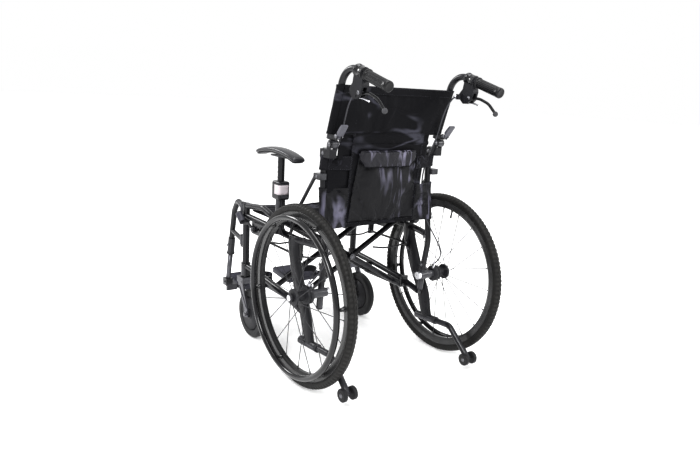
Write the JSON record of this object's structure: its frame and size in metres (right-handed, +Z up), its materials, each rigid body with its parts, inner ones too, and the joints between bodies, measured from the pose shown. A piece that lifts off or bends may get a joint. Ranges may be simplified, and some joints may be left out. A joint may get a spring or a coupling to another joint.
{
  "type": "manual wheelchair",
  "caption": "Folding self-propelled wheelchair with spoked rear wheels, hand rims, attendant brakes, sling seat and back, arm rests, swing-away foot hangers and anti-tippers",
  "frame": {"origin": "centre of the bounding box's base, on the floor", "axes": "+Z up, front toward -Y, the sitter's left side toward +X; lengthwise is Y, axle lines along X"},
  "size_m": [0.658, 1.0322, 0.9614],
  "materials": {
    "frame_black": "satin black powder coat",
    "bare_steel": "bright zinc",
    "silver_paint": "silver paint",
    "rim_black": "gloss black",
    "gloss_black": "gloss black",
    "black_plastic": "moulded black",
    "grey_plastic": "moulded dark grey",
    "foot_plastic": "moulded black, ribbed",
    "pad_black": "skinned foam",
    "grip_rubber": "ribbed",
    "castor_rubber": "solid moulding",
    "tyre": "black, fine tread",
    "cable_sheath": "smooth sheath",
    "nylon": "black woven nylon"
  },
  "bodies": {
    "left_frame": {"left_side_frame": "frame_black", "left_back_cane": "frame_black", "left_axle": "bare_steel", "left_hub_brake": "black_plastic", "left_brake_cable": "cable_sheath", "back_lower": "nylon", "back_pocket": "nylon"},
    "right_frame": {"right_side_frame": "frame_black", "right_back_cane": "frame_black", "right_axle": "bare_steel", "right_hub_brake": "black_plastic", "right_brake_cable": "cable_sheath"},
    "brace_a": {"brace_left_hinged": "frame_black"},
    "brace_b": {"brace_right_hinged": "frame_black"},
    "seat": {"seat_sling": "nylon"},
    "left_upper_back": {"left_upper_cane": "frame_black", "left_grip": "grip_rubber", "left_brake_body": "black_plastic", "back_upper": "nylon"},
    "left_fold_lever": {"left_fold_lever": "grey_plastic"},
    "left_brake_lever": {"left_brake_lever": "gloss_black"},
    "left_brake_latch": {"left_brake_latch": "bare_steel"},
    "left_wheel": {"left_tyre": "tyre", "left_rim": "rim_black", "left_spokes": "bare_steel", "left_hub": "black_plastic", "left_handrim": "gloss_black"},
    "left_fork": {"left_fork": "silver_paint"},
    "left_castor_wheel": {"left_castor_wheel": "castor_rubber"},
    "left_lock_lever": {"left_lock_lever": "black_plastic"},
    "left_lock_shoe": {"left_lock_shoe": "bare_steel"},
    "left_hanger": {"left_hanger": "frame_black"},
    "left_footplate": {"left_footplate": "foot_plastic"},
    "left_arm": {"left_arm_post": "frame_black", "left_arm_pad": "pad_black"},
    "left_anti_tip_tube": {"left_anti_tip_tube": "frame_black"},
    "left_anti_tip_wheels": {"left_anti_tip_wheels": "castor_rubber"},
    "left_links": {"left_links": "bare_steel"},
    "right_upper_back": {"right_upper_cane": "frame_black", "right_grip": "grip_rubber", "right_brake_body": "black_plastic"},
    "right_fold_lever": {"right_fold_lever": "grey_plastic"},
    "right_brake_lever": {"right_brake_lever": "gloss_black"},
    "right_brake_latch": {"right_brake_latch": "bare_steel"},
    "right_wheel": {"right_tyre": "tyre", "right_rim": "rim_black", "right_spokes": "bare_steel", "right_hub": "black_plastic", "right_handrim": "gloss_black"},
    "right_fork": {"right_fork": "silver_paint"},
    "right_castor_wheel": {"right_castor_wheel": "castor_rubber"},
    "right_lock_lever": {"right_lock_lever": "black_plastic"},
    "right_lock_shoe": {"right_lock_shoe": "bare_steel"},
    "right_hanger": {"right_hanger": "frame_black"},
    "right_footplate": {"right_footplate": "foot_plastic"},
    "right_arm": {"right_arm_post": "frame_black", "right_arm_pad": "pad_black"},
    "right_anti_tip_tube": {"right_anti_tip_tube": "frame_black"},
    "right_anti_tip_wheels": {"right_anti_tip_wheels": "castor_rubber"},
    "right_links": {"right_links": "bare_steel"}
  },
  "joints": [
    {"name": "frame_fold", "type": "hinge", "parent": "left_frame", "child": "brace_a", "pos_m": [0.217, 0.0181, 0.212], "axis": [0, 1, 0], "range_deg": [0, 43], "deforming": ["back_lower", "back_pocket", "back_upper", "seat_sling"]},
    {"name": "brace_cross", "type": "hinge", "parent": "brace_a", "child": "brace_b", "pos_m": [0, 0.0181, 0.33758], "axis": [0, 1, 0], "range_deg": [-86.01, 0]},
    {"name": "right_frame_hinge", "type": "hinge", "parent": "brace_b", "child": "right_frame", "pos_m": [-0.217, 0.0181, 0.212], "axis": [0, 1, 0], "range_deg": [0, 43.01]},
    {"name": "seat_level", "type": "hinge", "parent": "brace_b", "child": "seat", "pos_m": [0.215, -0.0119, 0.462], "axis": [0, 1, 0], "range_deg": [0, 43.01]},
    {"name": "left_back_fold", "type": "hinge", "parent": "left_frame", "child": "left_upper_back", "pos_m": [0.21, 0.2621, 0.737], "axis": [-1, 0, 0], "range_deg": [0, 110], "deforming": ["left_brake_cable"]},
    {"name": "left_fold_lever_pull", "type": "hinge", "parent": "left_upper_back", "child": "left_fold_lever", "pos_m": [0.21, 0.2851, 0.758], "axis": [-1, 0, 0], "range_deg": [0, 35], "stiffness_Nm_per_rad": 0.6},
    {"name": "left_brake_squeeze", "type": "hinge", "parent": "left_upper_back", "child": "left_brake_lever", "pos_m": [0.21, 0.3861, 0.886], "axis": [1, 0, 0], "range_deg": [0, 14], "stiffness_Nm_per_rad": 6},
    {"name": "left_latch_lift", "type": "hinge", "parent": "left_upper_back", "child": "left_brake_latch", "pos_m": [0.21, 0.3731, 0.877], "axis": [1, 0, 0], "range_deg": [0, 10], "stiffness_Nm_per_rad": 0.2},
    {"name": "left_wheel_spin", "type": "hinge", "parent": "left_frame", "child": "left_wheel", "pos_m": [0.286, 0.2361, 0.28], "axis": [1, 0, 0], "continuous": true},
    {"name": "left_fork_swivel", "type": "hinge", "parent": "left_frame", "child": "left_fork", "pos_m": [0.24, -0.2179, 0.22], "axis": [0, 0, 1], "continuous": true},
    {"name": "left_castor_spin", "type": "hinge", "parent": "left_fork", "child": "left_castor_wheel", "pos_m": [0.24, -0.1579, 0.088], "axis": [1, 0, 0], "continuous": true},
    {"name": "left_lock", "type": "hinge", "parent": "left_frame", "child": "left_lock_lever", "pos_m": [0.266, -0.1159, 0.408], "axis": [1, 0, 0], "range_deg": [0, 45]},
    {"name": "left_lock_shoe_press", "type": "hinge", "parent": "left_frame", "child": "left_lock_shoe", "pos_m": [0.266, -0.0319, 0.4], "axis": [1, 0, 0], "range_deg": [-13.01, 0]},
    {"name": "left_hanger_swing", "type": "hinge", "parent": "left_frame", "child": "left_hanger", "pos_m": [0.24, -0.2459, 0.4], "axis": [0, 0, 1], "range_deg": [0, 90]},
    {"name": "left_footplate_flip", "type": "hinge", "parent": "left_hanger", "child": "left_footplate", "pos_m": [0.2, -0.4089, 0.112], "axis": [0, 1, 0], "range_deg": [0, 90.01]},
    {"name": "left_arm_raise", "type": "slide", "parent": "left_frame", "child": "left_arm", "axis": [0, 0, 1], "range_m": [0, 0.06]},
    {"name": "left_anti_tip_turn", "type": "hinge", "parent": "left_frame", "child": "left_anti_tip_tube", "pos_m": [0.246, 0.2751, 0.12], "axis": [0, 0.9978, 0.0658], "range_deg": [0, 180]},
    {"name": "left_anti_tip_roll", "type": "hinge", "parent": "left_anti_tip_tube", "child": "left_anti_tip_wheels", "pos_m": [0.246, 0.4451, 0.0425], "axis": [1, 0, 0], "continuous": true},
    {"name": "left_link_swing", "type": "hinge", "parent": "left_frame", "child": "left_links", "pos_m": [0.222, 0.0181, 0.367], "axis": [0, 1, 0], "range_deg": [0, 67.95]},
    {"name": "right_back_fold", "type": "hinge", "parent": "right_frame", "child": "right_upper_back", "pos_m": [-0.21, 0.2621, 0.737], "axis": [-1, 0, 0], "range_deg": [0, 110.01], "deforming": ["right_brake_cable"]},
    {"name": "right_fold_lever_pull", "type": "hinge", "parent": "right_upper_back", "child": "right_fold_lever", "pos_m": [-0.21, 0.2851, 0.758], "axis": [-1, 0, 0], "range_deg": [0, 35], "stiffness_Nm_per_rad": 0.6},
    {"name": "right_brake_squeeze", "type": "hinge", "parent": "right_upper_back", "child": "right_brake_lever", "pos_m": [-0.21, 0.3861, 0.886], "axis": [1, 0, 0], "range_deg": [0, 14], "stiffness_Nm_per_rad": 6},
    {"name": "right_latch_lift", "type": "hinge", "parent": "right_upper_back", "child": "right_brake_latch", "pos_m": [-0.21, 0.3731, 0.877], "axis": [1, 0, 0], "range_deg": [0, 10], "stiffness_Nm_per_rad": 0.2},
    {"name": "right_wheel_spin", "type": "hinge", "parent": "right_frame", "child": "right_wheel", "pos_m": [-0.286, 0.2361, 0.28], "axis": [1, 0, 0], "continuous": true},
    {"name": "right_fork_swivel", "type": "hinge", "parent": "right_frame", "child": "right_fork", "pos_m": [-0.24, -0.2179, 0.22], "axis": [0, 0, 1], "continuous": true},
    {"name": "right_castor_spin", "type": "hinge", "parent": "right_fork", "child": "right_castor_wheel", "pos_m": [-0.24, -0.1579, 0.088], "axis": [1, 0, 0], "continuous": true},
    {"name": "right_lock", "type": "hinge", "parent": "right_frame", "child": "right_lock_lever", "pos_m": [-0.266, -0.1159, 0.408], "axis": [1, 0, 0], "range_deg": [0, 45]},
    {"name": "right_lock_shoe_press", "type": "hinge", "parent": "right_frame", "child": "right_lock_shoe", "pos_m": [-0.266, -0.0319, 0.4], "axis": [1, 0, 0], "range_deg": [-13.01, 0]},
    {"name": "right_hanger_swing", "type": "hinge", "parent": "right_frame", "child": "right_hanger", "pos_m": [-0.24, -0.2459, 0.4], "axis": [0, 0, -1], "range_deg": [0, 90]},
    {"name": "right_footplate_flip", "type": "hinge", "parent": "right_hanger", "child": "right_footplate", "pos_m": [-0.2, -0.4089, 0.112], "axis": [0, -1, 0], "range_deg": [0, 90.01]},
    {"name": "right_arm_raise", "type": "slide", "parent": "right_frame", "child": "right_arm", "axis": [0, 0, 1], "range_m": [0, 0.06]},
    {"name": "right_anti_tip_turn", "type": "hinge", "parent": "right_frame", "child": "right_anti_tip_tube", "pos_m": [-0.246, 0.2751, 0.12], "axis": [0, -0.9978, -0.0658], "range_deg": [0, 180]},
    {"name": "right_anti_tip_roll", "type": "hinge", "parent": "right_anti_tip_tube", "child": "right_anti_tip_wheels", "pos_m": [-0.246, 0.4451, 0.0425], "axis": [1, 0, 0], "continuous": true},
    {"name": "right_link_swing", "type": "hinge", "parent": "right_frame", "child": "right_links", "pos_m": [-0.222, 0.0181, 0.367], "axis": [0, -1, 0], "range_deg": [0, 67.95]}
  ],
  "couplings": [
    {"joint": "brace_cross", "follows": "frame_fold", "ratio": -2},
    {"joint": "right_frame_hinge", "follows": "frame_fold", "ratio": 1},
    {"joint": "seat_level", "follows": "frame_fold", "ratio": 1},
    {"joint": "left_lock_shoe_press", "follows": "left_lock", "ratio": -0.28889},
    {"joint": "left_footplate_flip", "follows": "frame_fold", "ratio": 2.093},
    {"joint": "left_link_swing", "follows": "frame_fold", "ratio": 1.58},
    {"joint": "right_lock_shoe_press", "follows": "right_lock", "ratio": -0.28889},
    {"joint": "right_footplate_flip", "follows": "frame_fold", "ratio": 2.093},
    {"joint": "right_link_swing", "follows": "frame_fold", "ratio": 1.58},
    {"joint": "right_back_fold", "follows": "left_back_fold", "ratio": 1}
  ]
}
